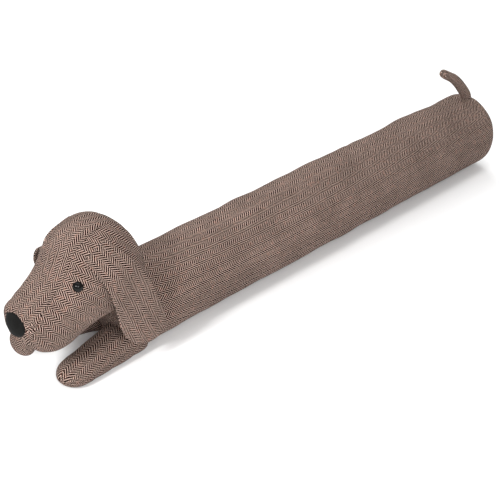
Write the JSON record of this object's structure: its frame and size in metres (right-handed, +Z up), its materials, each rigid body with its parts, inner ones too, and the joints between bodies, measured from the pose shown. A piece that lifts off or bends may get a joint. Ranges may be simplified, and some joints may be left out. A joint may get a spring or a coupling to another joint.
{
  "type": "draught excluder",
  "caption": "Long filled cloth tube shaped as a lying dog with a stuffed head, hanging ears, paws and a curled tail, laid along the foot of a door.",
  "frame": {"origin": "bottom centre of the part's box, on the floor it lies on", "axes": "+Z up; X along the tube's length, the dog's muzzle at -X and its tail at +X; -Y is the dog's left side"},
  "size_m": [0.8758, 0.1638, 0.1991],
  "materials": {
    "tweed": "brown and cream herringbone tweed, matt",
    "nose_cloth": "charcoal felt-like cloth, matt",
    "eye_bead": "black, polished"
  },
  "bodies": {
    "root": {"body": "tweed", "head": "tweed", "ear_left": "tweed", "ear_right": "tweed", "paw_left": "tweed", "paw_right": "tweed", "tail": "tweed", "nose": "nose_cloth", "eye_left": "eye_bead", "eye_right": "eye_bead"}
  },
  "joints": []
}
